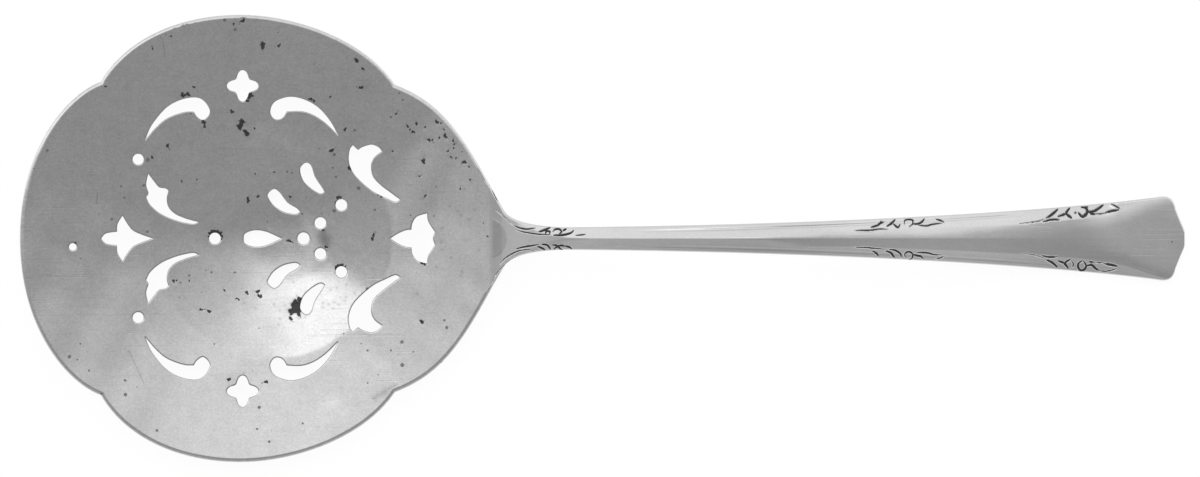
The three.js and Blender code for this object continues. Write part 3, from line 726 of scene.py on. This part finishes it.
def bowl_plan(rim, loops):
    """The bowl seen from above: points, triangles, and the pairs of points along its edges."""
    flat = field_points(rim, loops, Edges([closed(loop) for loop in (rim, *loops)]))
    sides, first = [], 0
    for loop in (rim, *loops):
        sides += [(first + i, first + (i + 1) % len(loop)) for i in range(len(loop))]
        first += len(loop)
    made = delaunay_2d_cdt([Vector(p) for p in flat], sides, [], 0, 1e-6)
    flat = np.array([tuple(v) for v in made[0]])
    triangles = np.array(made[2])
    triangles = triangles[in_metal(flat[triangles].mean(1), rim, loops)]
    ab, ac = (flat[triangles[:, i]] - flat[triangles[:, 0]] for i in (1, 2))
    turned = ab[:, 0] * ac[:, 1] - ab[:, 1] * ac[:, 0] < 0
    triangles[turned] = triangles[turned][:, ::-1]
    return flat, triangles, sides


def edge_reaches(flat, upper, rim, loops, seam_first, seam_last):
    """Reach of each point from the rim, less the seam, and from the piercings, with the ways from them."""
    run_on = OUTLINE[:RUN_ON]
    free_rim = np.vstack([mirrored(run_on)[::-1], mirrored(upper)[::-1], upper[1:], run_on])
    rim_reach, rim_way = Edges([free_rim]).nearest(flat)
    hole_reach, hole_way = Edges([closed(loop) for loop in loops]).nearest(flat)
    of_holes = slice(len(rim), len(rim) + sum(len(loop) for loop in loops))
    hole_reach[of_holes] = 0
    hole_way[of_holes] = np.vstack([into_metal(loop, False) for loop in loops])
    free = np.r_[:seam_first + 1, seam_last:len(rim)]
    rim_reach[free] = 0
    rim_way[free] = into_metal(rim, True)[free]
    rim_way[seam_first] = rim_way[seam_first - 1]
    rim_way[seam_last] = rim_way[seam_last + 1]
    return (rim_reach, rim_way), (hole_reach, hole_way)


def rounded_sheet(height, x, y, edges, side):
    """Points and normals of the bowl's face, side 1, or of its back, side -1, its edges rounded."""
    level = height(x, y)
    normals = graded(height, x, y) * side
    for (reach, way), radius in edges:
        drop, normals = rolled(reach, way, radius, normals)
        level = level - side * drop
    return np.column_stack([x, y, level]), normals


def bowl_piece(material):
    upper = joined(upper_rim(), RIM_PITCH)
    seam = resample([(SEAM_X, -SEAM_HALF), (SEAM_X, SEAM_HALF)], RIM_PITCH)
    rim = np.vstack([upper[:-1], seam[::-1][:-1], mirrored(upper)[::-1][:-1]])
    seam_first = len(upper) - 1
    seam_last = seam_first + len(seam) - 1
    loops = piercing_outlines()
    flat, triangles, sides = bowl_plan(rim, loops)
    at_rim, at_holes = edge_reaches(flat, upper, rim, loops, seam_first, seam_last)
    x, y = flat.T
    top, top_normals = rounded_sheet(face_height, x, y, [(at_rim, RIM_ROUND), (at_holes, PIERCING_ROUND)], 1)
    under_edges = [(at_rim, UNDER_ROUND), (at_holes, UNDER_ROUND / 2)]
    under, under_normals = rounded_sheet(back_dish, x, y, under_edges, -1)

    count = len(flat)
    points = np.vstack([top, under])
    normals = np.vstack([top_normals, under_normals])
    faces = [*triangles.tolist(), *(triangles[:, ::-1] + count).tolist()]
    corners = [normals[i] for face in faces for i in face]
    for a, b in sides:
        wall = [b, a, a + count, b + count]
        faces.append(wall)
        at_seam = seam_first <= a < seam_last
        corners += [np.array((1.0, 0, 0)) if at_seam else normals[i] for i in wall]
    faces, corners = outward(points, faces, corners)
    # Painted shade along the piercings' edges, partly tarnish, darker on their upper-left sides, away from
    # the light
    hole_reach, hole_way = at_holes
    sheltered = np.clip(1 + hole_way @ EDGE_SHADE_SIDE, *EDGE_SHADE_RANGE)
    edge_shade = np.clip(1 - hole_reach / EDGE_SHADE_WIDTH, 0, 1) * EDGE_SHADE_DARKNESS * sheltered
    tarnish = np.r_[hollows(x, y)[1], np.zeros(count)]
    stain_and_painted_light = np.r_[np.maximum(stains_and_painted_sheen(x, y), edge_shade), edge_shade]
    crowd = np.r_[patches(x, y, CROWDS), np.zeros(count)]
    return new_piece("silver_bowl", points, faces, corners, tarnish, stain_and_painted_light, crowd, material)


def outward(points, faces, corners):
    """Turns round the faces that look against their own normals."""
    made, normals, first = [], [], 0
    for face in faces:
        mine = corners[first:first + len(face)]
        first += len(face)
        a, b, c = (points[i] for i in face[:3])
        if np.dot(np.cross(b - a, c - a), sum(mine)) < 0:
            face, mine = face[::-1], mine[::-1]
        made.append(face)
        normals += mine
    return made, normals


# Handle

def handle_outline():
    """Upper edge of the handle from the seam to the tip, in short bits."""
    shoulder = (SHOULDER_X, SHOULDER_HALF)
    stem = (STEM_X, STEM_HALF)
    end = (END_X, END_HALF)
    corner = (CORNER_X, CORNER_HALF)
    hollow = (HOLLOW_X, HOLLOW_HALF)
    tip = (TIP_X, APEX_HALF)
    return np.vstack([
        resample([(SEAM_X, SEAM_HALF), shoulder], 0.12),
        bezier(shoulder, SHOULDER_PULL, NECK_PULL, stem, 90)[1:],
        bezier(stem, STEM_PULL, END_PULLS[0], end, 200)[1:],
        bezier(end, END_PULLS[1], CORNER_PULL, corner, 30)[1:],
        resample([corner, hollow], 0.12)[1:],
        bezier(hollow, HOLLOW_PULL, APEX_PULL, tip, 30)[1:],
    ])


OUTLINE = handle_outline()


def half_width(x):
    return np.interp(x, OUTLINE[:, 0], OUTLINE[:, 1])


def ramp(x, start, end):
    """Cubic from one place, height and slope to another."""
    run = end[0] - start[0]
    t = np.clip((x - start[0]) / run, 0, 1)
    rise = (2 * t ** 3 - 3 * t ** 2 + 1) * start[1] + (3 * t ** 2 - 2 * t ** 3) * end[1]
    return rise + run * ((t ** 3 - 2 * t ** 2 + t) * start[2] + (t ** 3 - t ** 2) * end[2])


def back_height(x):
    bend = (BEND_X, dish(BEND_X), slope(NECK_SLOPE))
    crest = (CREST_X, CREST_HEIGHT, 0)
    up = ramp(x, bend, crest)
    down = ramp(x, crest, (FLAT_X, 0, 0))
    return np.where(x <= BEND_X, dish(x), np.where(x <= CREST_X, up, down))


def along(x, seam, stem, end):
    """A size of the handle that changes from its seam to its stem and to its end."""
    neck, rest = smooth(x, SEAM_X, STEM_X), smooth(x, STEM_X, FLAT_X)
    return np.where(x < STEM_X, mix(seam, stem, neck), mix(stem, end, rest))


def hinge(value, soft):
    """Nought below nought and the value above it, with the bend softened."""
    return (value + np.sqrt(value ** 2 + soft ** 2)) / 2


def lift(x, y):
    fade = 1 - smooth(x, SEAM_X, STEM_X)
    return back_height(x) + fade * (back_dish(x, y) - dish(x))


def along_table(x, table):
    return np.interp(x, *zip(*table))


def crown_fall(x, y):
    """How far the face has fallen from its middle: a flat core, the panel's tilt, then the side bands."""
    away = np.abs(y)
    core, soft, panel = along_table(x, CORE), along_table(x, CORE_SOFT), along_table(x, PANEL)
    gentle = np.tan(np.radians(along_table(x, PANEL_TILT)))
    upper, lower = (along_table(x, BAND_TILT + end) for end in (UPPER_BAND_END, LOWER_BAND_END))
    steep = np.tan(np.radians(np.where(y > 0, upper, lower)))
    band_soft = np.where(y > 0, along_table(x, UPPER_BAND_SOFT), BAND_SOFT)
    inner = hinge(away - core, soft) - hinge(-core, soft)
    outer = hinge(away - panel, band_soft) - hinge(-panel, band_soft)
    return gentle * inner + (steep - gentle) * outer


def stroke_points():
    """Points along all the cuts, each with the half-width of its stroke there."""
    strokes = []
    for width, *numbers in UPPER_CUTS + LOWER_CUTS:
        line = resample(spline(np.reshape(numbers, (-1, 2)), 6), 0.05)
        bulge = np.sin(math.pi * np.linspace(0, 1, len(line))) ** 0.6
        strokes.append(np.column_stack([line, CUT_WIDTH * width * (CUT_END + (1 - CUT_END) * bulge)]))
    return np.vstack(strokes)


def cut_depths(x, y):
    """Depth of the cuts at points of the face, as a share of the full depth, and the burr along them."""
    strokes = stroke_points()
    tree = tree_of(strokes[:, :2])
    depth, burr = np.zeros_like(x), np.zeros_like(x)
    for i, (px, py) in enumerate(zip(x, y)):
        _, found, reach = tree.find((px, py, 0))
        share = reach / strokes[found, 2]
        if share < 2.4:
            full = min(1, strokes[found, 2] / (FULL_CUT * CUT_WIDTH))
            depth[i] = full * max(0, 1 - (share / CUT_SLOPE) ** 1.6)
            burr[i] = math.exp(-((share - LIP) / LIP_WIDTH) ** 2)
    return depth, burr


def pad_share(x, y):
    """How far a point lies up the bevel of the solder pad."""
    bulge = PAD_RUN * np.sqrt(np.clip(1 - (y / PAD_HALF) ** 2, 0, 1))
    within = np.minimum(x - PAD_START, PAD_START + bulge - x)
    return smooth(within, 0, PAD_BEVEL)


def stations():
    """Places along the handle, closer together at the shoulder, at the cuts and at the tip."""
    places = [SEAM_END]
    while places[-1] < END_X:
        x = places[-1]
        cut = any(low <= x <= high for low, high in CUT_ZONES)
        pitch = CUT_PITCH if cut else SHOULDER_PITCH if x < STEM_X else PLAIN_PITCH
        places.append(x + pitch)
    tip = resample(OUTLINE[OUTLINE[:, 0] >= END_X], 0.16)[:, 0]
    tip = [TIP_X - 0.0005 if x > TIP_X - 0.0005 else x for x in tip if x > places[-1] + 0.02]
    return np.array(places + sorted(set(np.round(tip, 4))))


def ring_spots(places, shares, edges):
    """Points across the handle at shares of its half-width, and how far each lies from an edge."""
    x, share = [grid.ravel() for grid in np.meshgrid(places, shares, indexing="ij")]
    y = share * half_width(x)
    reach, _ = edges.nearest(np.column_stack([x, y]))
    reach[np.abs(share) == 1] = 0
    return x, y, share, reach


def handle_edges():
    line = np.vstack([joined(upper_rim(), RIM_PITCH)[-RUN_ON:-1], OUTLINE])
    return Edges([np.vstack([line, mirrored(line)[::-1]])])


def face_rings(places, edges, cut=True):
    """The face at the stations, and how dark with cuts and how dull with solder it is."""
    even = np.linspace(1, -1, TOP_POINTS)
    x, y, _, reach = ring_spots(places, 0.6 * even + 0.4 * np.sin(even * math.pi / 2), edges)
    left, drop = rounding(reach, along(x, RIM_ROUND, STEM_EDGE, END_EDGE))
    depth, burr = cut_depths(x, y) if cut else (np.zeros_like(x), np.zeros_like(x))
    pad = pad_share(x, y)
    thickness = along(x, PLATE, STEM_THICKNESS, END_THICKNESS)
    border = BORDER_DEPTH * np.exp(-((reach - BORDER_INSET) / BORDER_WIDTH) ** 2) * along_table(x, BORDER)
    ridge = np.exp(-((-y - along_table(x, PANEL)) / CREASE_WIDTH) ** 2)
    carved = CUT_BURR * burr * (1 - left) - CUT_DEPTH * depth + PAD_HEIGHT * pad - border
    carved += CREASE_HEIGHT * ridge * along_table(x, CREASE)
    z = lift(x, y) + thickness - crown_fall(x, y) - drop + carved + HANDLE_WAVES * waves(x, y) * (1 - left)
    marks = np.stack([np.clip(1.7 * depth - 0.1, 0, 1), PAD_DULLNESS * pad])
    return np.column_stack([x, y, z]).reshape(len(places), -1, 3), marks.reshape(2, len(places), -1)


def back_rings(places, edges):
    """The back at the stations, flat in the middle and drawn up towards its sides."""
    x, y, share, reach = ring_spots(places, np.linspace(-1, 1, BACK_POINTS), edges)
    away = (np.maximum(0, np.abs(share) - BACK_FLAT_SHARE) / (1 - BACK_FLAT_SHARE)) ** ROUNDNESS
    z = lift(x, y) + along(x, 0, STEM_ROUND, END_ROUND) * away + rounding(reach, UNDER_ROUND)[1]
    return np.column_stack([x, y, z]).reshape(len(places), -1, 3)


def handle_rings(places, cut=True):
    """Rings of points round the handle: face, side, back and side."""
    edges = handle_edges()
    top, marks = face_rings(places, edges, cut)
    back = back_rings(places, edges)
    left, right = ([mix(start, end, share) for share in (0.33, 0.67)]
                   for start, end in ((top[:, -1], back[:, 0]), (back[:, -1], top[:, 0])))
    return np.concatenate([top, np.stack(left, 1), back, np.stack(right, 1)], axis=1), marks


def ring_normals(rings):
    """Normals of a skin over rings of points, from each point's neighbours, out of the skin."""
    around = np.roll(rings, -1, axis=1) - np.roll(rings, 1, axis=1)
    normals = unit(np.cross(around, np.gradient(rings, axis=0)))
    middle = rings.mean(1, keepdims=True)
    return -normals if ((rings - middle) * normals).sum() < 0 else normals


def skin(rings, first=0):
    """Faces over rings of points, with their corner normals, and flat caps at both ends."""
    rows, count = rings.shape[:2]
    points, normals = rings.reshape(-1, 3), ring_normals(rings).reshape(-1, 3)
    faces = []
    for row in range(0, (rows - 1) * count, count):
        for i in range(count):
            j = (i + 1) % count
            faces.append([row + i, row + j, row + count + j, row + count + i])
    corners = [normals[k] for face in faces for k in face]
    for start, way in ((0, -1.0), ((rows - 1) * count, 1.0)):
        faces.append(list(range(start, start + count)))
        corners += [np.array((way, 0, 0))] * count
    faces, corners = outward(points, faces, corners)
    return points, [[k + first for k in face] for face in faces], corners


def heel_rings():
    """The tongue under the bowl, which sinks into the back of the handle behind the seam."""
    round_x = SEAM_X - HEEL_LAP + HEEL_HALF
    rear_x = SEAM_END + HEEL_TAIL
    nose = [(round_x - HEEL_HALF * math.cos(t), HEEL_HALF * math.sin(t))
            for t in np.linspace(0.12, math.pi / 2, 16)]
    body = resample([(round_x, HEEL_HALF), (SEAM_END, HEEL_HALF)], 0.5)[1:]
    tail = resample([(SEAM_END, HEEL_HALF), (rear_x, HEEL_TAIL_HALF)], 0.5)[1:]
    share = np.linspace(-1, 1, HEEL_POINTS)
    rings = []
    for x, width in np.vstack([nose, body, tail]):
        within = smooth(x, SEAM_END, SEAM_END + HEEL_TAIL / 4)
        run_out = smooth(x, SEAM_END, rear_x)
        thickness = mix(HEEL_NOSE_THICKNESS, HEEL_THICKNESS, smooth(x, round_x - HEEL_HALF, SEAM_X))
        y = width * np.linspace(1, -1, HEEL_POINTS)
        seat = mix(back_dish(x, y) - SOLDER_GAP, back_height(x) + HEEL_SINK, within)
        depth = mix(thickness + within * (HEEL_SINK + SOLDER_GAP), HEEL_SINK / 2, run_out)
        under = seat - depth * np.sqrt(np.clip(1 - share ** 2, 0, 1)) - HEEL_EDGE
        rings.append(np.column_stack([np.full(2 * HEEL_POINTS, x), np.r_[y, -y], np.r_[seat, under]]))
    return np.array(rings)


def handle_piece(material):
    rings, (cuts, pad) = handle_rings(stations())
    points, faces, corners = skin(rings)
    heel_points, heel_faces, heel_corners = skin(heel_rings(), len(points))
    for px, py, radius in HANDLE_SPECKS:
        away = np.hypot(rings[:, :TOP_POINTS, 0] - px, rings[:, :TOP_POINTS, 1] - py) / radius
        cuts = np.maximum(cuts, np.exp(-away ** 2))
    points = np.vstack([points, heel_points])
    tarnish, stain_and_painted_light, crowd = np.zeros((3, len(points)))
    for values, marks in ((tarnish, cuts), (stain_and_painted_light, pad)):
        values[:rings[..., 0].size].reshape(rings.shape[:2])[:, :TOP_POINTS] = marks
    faces, corners = faces + heel_faces, corners + heel_corners
    return new_piece("silver_handle", points, faces, corners, tarnish, stain_and_painted_light, crowd, material)


def solder_piece(material):
    rings, _ = handle_rings(np.linspace(SEAM_X, SEAM_END, 4), cut=False)
    points, faces, corners = skin(rings)
    clean = np.zeros(len(points))
    return new_piece("solder_joint", points, faces, corners, clean, clean + SOLDER_DULLNESS, clean, material)


# Materials

class Nodes:
    """Short ways to add nodes to a tree. Their inputs are plain values or other nodes' outputs."""

    def __init__(self, owner):
        owner.use_nodes = True
        self.tree = owner.node_tree

    def feed(self, socket, given):
        if isinstance(given, bpy.types.NodeSocket):
            self.tree.links.new(given, socket)
        else:
            socket.default_value = given

    def add(self, kind, inputs=(), **settings):
        made = self.tree.nodes.new(kind)
        for label, value in settings.items():
            setattr(made, label, value)
        for label, given in dict(inputs).items():
            self.feed(made.inputs[label], given)
        return made

    def attribute(self, name):
        return self.add("ShaderNodeAttribute", attribute_name=name).outputs["Fac"]

    def place(self):
        return self.add("ShaderNodeTexCoord").outputs["Object"]

    def math(self, operation, *inputs, clamp=False):
        made = self.add("ShaderNodeMath", enumerate(inputs), operation=operation, use_clamp=clamp)
        return made.outputs[0]

    def product(self, first, *others):
        for other in others:
            first = self.math("MULTIPLY", first, other)
        return first

    def larger(self, first, second):
        return self.math("MAXIMUM", first, second)

    def scaled(self, source, gain, start):
        return self.math("MULTIPLY_ADD", source, gain, start)

    def spread(self, source, low, high, to_low=0.0, to_high=1.0):
        """A smooth step from one level to another where the source goes from low to high."""
        inputs = {"Value": source, "From Min": low, "From Max": high, "To Min": to_low, "To Max": to_high}
        made = self.add("ShaderNodeMapRange", inputs, clamp=True, interpolation_type="SMOOTHSTEP")
        return made.outputs["Result"]

    def noise(self, place, scale, detail=3.0, roughness=0.55, stretch=(1, 1, 1), turn=0.0, offset=0.0):
        turned = (0, 0, math.radians(turn))
        inputs = {"Vector": place, "Scale": stretch, "Rotation": turned, "Location": [offset] * 3}
        moved = self.add("ShaderNodeMapping", inputs).outputs["Vector"]
        inputs = {"Vector": moved, "Scale": scale, "Detail": detail, "Roughness": roughness}
        return self.add("ShaderNodeTexNoise", inputs).outputs["Fac"]

    def grey(self, shader, level):
        """Sets a shader's colour to a grey of the level."""
        colour = self.add("ShaderNodeCombineColor", {"Red": level, "Green": level, "Blue": level})
        self.feed(shader.inputs["Base Color"], colour.outputs["Color"])

    def toned(self, level, source, depth):
        """The level taken down by a depth where the source is one."""
        return self.product(level, self.scaled(source, -depth, 1.0))

    def ripple(self, level, source, swing):
        """The level swung evenly up and down by a noise about one half."""
        return self.product(level, self.scaled(source, 2 * swing, 1 - swing))


def scratches(nodes, place, turn, offset, level):
    """Thin straight lines in one direction, broken up here and there."""
    lines = nodes.noise(place, 1.0, 2.0, 0.5, (60, 3400, 60), turn, offset)
    breaks = nodes.noise(place, 110, 2.0, 0.5, offset=offset + 3)
    return nodes.product(nodes.spread(lines, level, level + 0.05), nodes.spread(breaks, 0.5, 0.62))


def specks(nodes, place, pitch, size, crowd):
    """Round dots of mixed sizes, more and larger where they crowd."""
    cells = nodes.add("ShaderNodeTexVoronoi", {"Scale": 1 / pitch, "Vector": place}, feature="F1")
    parts = nodes.add("ShaderNodeSeparateColor", {"Color": cells.outputs["Color"]})
    mixed = nodes.scaled(parts.outputs["Red"], 0.75, 0.25)
    reach = nodes.product(crowd, size / pitch, mixed)
    return nodes.math("LESS_THAN", cells.outputs["Distance"], reach)


def tarnish_and_dust(nodes, place, grit):
    """Where the silver is dark with old tarnish, and where it is finely dusted."""
    crowd = nodes.spread(nodes.noise(place, 75, 3, 0.7, offset=9), 0.44, 0.66)
    crowd = nodes.larger(nodes.attribute("crowd"), crowd)
    dots = specks(nodes, place, 0.0019, 0.0004 * grit, crowd)
    dust = specks(nodes, place, 0.0007, 0.00012 * grit, crowd)
    crumbs = nodes.noise(place, 2400, 3, 0.7, offset=13)
    ragged = nodes.scaled(crumbs, 1.5, nodes.math("SUBTRACT", nodes.attribute("tarnish"), 0.75))
    return nodes.larger(nodes.spread(ragged, 0.34, 0.56), nodes.product(dots, 0.7)), dust


def silver(name, bright, rough, grit, brushed):
    """Old silver: cloudy, grainy, finely scratched and pitted, dark where tarnish has stayed, with painted
    shade and a painted sheen carried in the points' values.
    """
    material = bpy.data.materials.new(name)
    nodes = Nodes(material)
    shader = nodes.tree.nodes["Principled BSDF"]
    place = nodes.place()
    clouds = nodes.noise(place, 110, 4, 0.62, offset=1)
    mottle = nodes.noise(place, 620, 3, 0.65, offset=2)
    grain = nodes.noise(place, 2600, 2, 0.8, offset=5)
    polish = nodes.noise(place, 1500, 3, 0.6, (0.012, 1, 1), offset=21)
    marks = scratches(nodes, place, 24, 0, 0.62)
    for turn, offset in ((-38, 7), (78, 11)):
        marks = nodes.larger(marks, scratches(nodes, place, turn, offset, 0.63))
    dark, dust = tarnish_and_dust(nodes, place, grit)

    level = nodes.scaled(clouds, 0.08, bright - 0.04)
    for source, swing in ((mottle, 0.1 * grit + 0.01), (grain, 0.24 * grit + 0.02), (polish, brushed)):
        level = nodes.ripple(level, source, swing)
    # The third value tones the silver by real stains and the painted shade along the piercings, and lifts it
    # where the painted sheen lies
    for source, depth in ((marks, 0.06 * grit), (dust, 0.22), (nodes.attribute("stain_and_painted_light"), 0.4), (dark, 0.88)):
        level = nodes.toned(level, source, depth)
    nodes.grey(shader, level)
    nodes.feed(shader.inputs["Roughness"], nodes.scaled(dark, 0.4, nodes.scaled(mottle, 0.08, rough - 0.04)))
    nodes.feed(shader.inputs["Metallic"], 1.0)

    relief = nodes.scaled(marks, -0.2, nodes.product(mottle, 0.4))
    relief = nodes.scaled(grain, 0.2 * grit, relief)
    relief = nodes.scaled(polish, brushed, relief)
    bump = nodes.add("ShaderNodeBump", {"Strength": 0.3, "Distance": 0.00003, "Height": relief})
    nodes.feed(shader.inputs["Normal"], bump.outputs["Normal"])
    return material


# Table, light and camera

FLOOR_DROP = 0.00005
TABLE_SIZE = 4
TABLE_GLOW = 1.08
GLOW_SHARE = 0.82
FRAME_WIDTH = 206.0
FRAME_CENTRE_X = 56.3
CAMERA_HEIGHT = 0.9

# Light of the studio by the direction that it comes from, across and up the picture: levels, and pairs of
# directions between which a light sets in or ends
DIM_LIGHT = 0.36
TENT_LIGHT = 0.6
TENT_RISE = (-0.07, 0.2)
TENT_SIDE = (0.04, 0.28)
TENT_CORNER_TILT = 0.3
TENT_CORNER = (0.29, 0.36)
TENT_DIP = 0.35
TENT_LEFT = (-0.29, -0.08)
TENT_LEFT_DIP = 0.1
TENT_LEFT_TOP = (0.12, 0.22)
TENT_FAR = (0.5, 0.8)
TENT_FAR_DIP = 0.55
HORIZON = (-0.5, 0.3)
HORIZON_LIGHT = (0.45, 0.3)
SOFTBOX_TILT = 0.5
SOFTBOX_LIGHT = 0.46

# Lights that are products of smooth steps: the way that a step goes, its start and end, and both levels
LEFT_LIGHT = (("across", -0.27, -0.18, 0.09, 0.21), ("up", -0.18, -0.02), ("across", -0.19, -0.12, 1, 0),
              ("up", 0.1, 0.22, 1, 0))
LOW_BAND = (("up", -0.48, -0.4, 0.03, 0.1), ("up", -0.36, -0.28, 1, 0))
SOFTBOX = (("tilted", 0.248, 0.27), ("up", 0.295, 0.33, 1, 0), ("across", -0.105, 0.125, 1, 0),
           ("across", -0.6, -0.4))


def table():
    bpy.ops.mesh.primitive_plane_add(size=TABLE_SIZE, location=(0, 0, -FLOOR_DROP))
    floor = bpy.context.object
    floor.name = "table_top"
    material = bpy.data.materials.new("table_white")
    nodes = Nodes(material)
    shader = nodes.tree.nodes["Principled BSDF"]
    nodes.feed(shader.inputs["Roughness"], 0.9)
    nodes.feed(shader.inputs["Specular IOR Level"], 0.1)
    nodes.grey(shader, nodes.spread(nodes.noise(nodes.place(), 300, 3), 0.3, 0.7, 0.97, 1.0))
    glow = nodes.add("ShaderNodeEmission", {"Strength": TABLE_GLOW})
    rays = nodes.add("ShaderNodeLightPath")
    seen = nodes.larger(rays.outputs["Is Camera Ray"], rays.outputs["Is Glossy Ray"])
    seen = nodes.larger(seen, rays.outputs["Is Transmission Ray"])
    shown = (nodes.product(seen, GLOW_SHARE), shader.outputs["BSDF"], glow.outputs["Emission"])
    both = nodes.add("ShaderNodeMixShader", enumerate(shown))
    nodes.feed(nodes.tree.nodes["Material Output"].inputs["Surface"], both.outputs["Shader"])
    floor.data.materials.append(material)


def tent_light(nodes, across, up):
    """Light from the top of the picture, with a dip at its right and a deeper one at its left."""
    corner = nodes.scaled(across, TENT_CORNER_TILT, up)
    width = nodes.larger(nodes.spread(across, *TENT_SIDE, 1.0, TENT_DIP),
                         nodes.spread(corner, *TENT_CORNER, TENT_DIP, 1.0))
    left = nodes.larger(nodes.spread(across, *TENT_LEFT, TENT_LEFT_DIP, 1.0),
                        nodes.spread(up, *TENT_LEFT_TOP, TENT_LEFT_DIP, 1.0))
    width = nodes.product(width, left, nodes.spread(up, *TENT_FAR, 1.0, TENT_FAR_DIP))
    return nodes.product(nodes.spread(up, *TENT_RISE), width)


def stepped_light(nodes, ways, steps):
    return nodes.product(*[nodes.spread(ways[way], *numbers) for way, *numbers in steps])


def studio():
    """A tent lit from the top of the picture, and a softbox with a sharp edge at its top left."""
    world = bpy.data.worlds.new("studio")
    bpy.context.scene.world = world
    nodes = Nodes(world)
    way = nodes.add("ShaderNodeTexCoord").outputs["Generated"]
    split = nodes.add("ShaderNodeSeparateXYZ", {"Vector": way})
    across, up, high = (split.outputs[axis] for axis in "XYZ")
    level = nodes.scaled(tent_light(nodes, across, up), TENT_LIGHT, DIM_LIGHT)
    ways = {"across": across, "up": up, "tilted": nodes.scaled(across, -SOFTBOX_TILT, up)}
    for steps in (LEFT_LIGHT, LOW_BAND):
        level = nodes.math("ADD", level, stepped_light(nodes, ways, steps))
    rise = nodes.math("SUBTRACT", 1.0, high, clamp=True)
    level = nodes.scaled(rise, nodes.spread(up, *HORIZON, *HORIZON_LIGHT), level)
    level = nodes.scaled(stepped_light(nodes, ways, SOFTBOX), SOFTBOX_LIGHT, level)
    background = nodes.tree.nodes["Background"]
    nodes.feed(background.inputs["Color"], (1, 1, 1, 1))
    nodes.feed(background.inputs["Strength"], level)


def camera():
    data = bpy.data.cameras.new("camera")
    data.type = "ORTHO"
    data.sensor_fit = "HORIZONTAL"
    data.ortho_scale = FRAME_WIDTH * MM
    made = bpy.data.objects.new("camera", data)
    bpy.context.scene.collection.objects.link(made)
    made.location = ((FRAME_CENTRE_X + WELL_CENTRE) * MM, 0, CAMERA_HEIGHT)
    bpy.context.scene.camera = made


def build():
    bowl = bowl_piece(silver("bowl_silver_look", 0.67, 0.1, 1, 0))
    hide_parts("pierced_bowl")
    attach(bowl, "root")
    handle = handle_piece(silver("handle_silver_look", 0.67, 0.1, 0.25, 0.06))
    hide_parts("handle")
    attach(handle, "root")
    joint = solder_piece(silver("solder_look", 0.65, 0.14, 0.6, 0))
    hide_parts("solder_seam")
    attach(joint, "root")
    table()
    studio()
    camera()


build()
bpy.context.scene.view_settings.view_transform = "Standard"
